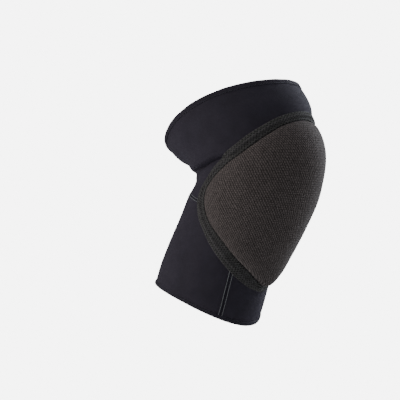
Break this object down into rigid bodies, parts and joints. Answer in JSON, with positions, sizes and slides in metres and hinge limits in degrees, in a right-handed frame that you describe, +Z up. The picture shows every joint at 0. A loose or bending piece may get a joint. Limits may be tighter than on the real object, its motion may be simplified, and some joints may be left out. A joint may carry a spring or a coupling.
{
  "type": "handball knee pad",
  "caption": "Bent knee sleeve of stretch foam cloth with turned hems, sewn panels and a domed foam pad under ribbed mesh on its front.",
  "frame": {"origin": "middle of the knee, in the hollow of the sleeve, halfway from the pad to the back of the knee", "axes": "+Z up along the sleeve as it is worn on a bent leg, towards the thigh; the pad faces -Y; +X to the side"},
  "size_m": [0.1426, 0.1953, 0.253],
  "materials": {
    "sleeve_cloth": "black foam rubber cloth faced with a fine matt knit",
    "hem_cloth": "the same cloth turned over and stitched",
    "flange_knit": "dark knit band pressed flat, matt",
    "pad_mesh": "charcoal open mesh with fine diagonal ribs over foam",
    "seam_thread": "grey polyester sewing thread"
  },
  "bodies": {
    "root": {"upper_sleeve": "sleeve_cloth", "calf_panel": "sleeve_cloth", "shin_panel": "sleeve_cloth", "top_hem": "hem_cloth", "bottom_hem": "hem_cloth", "pad_flange": "flange_knit", "knee_pad": "pad_mesh"}
  },
  "joints": []
}
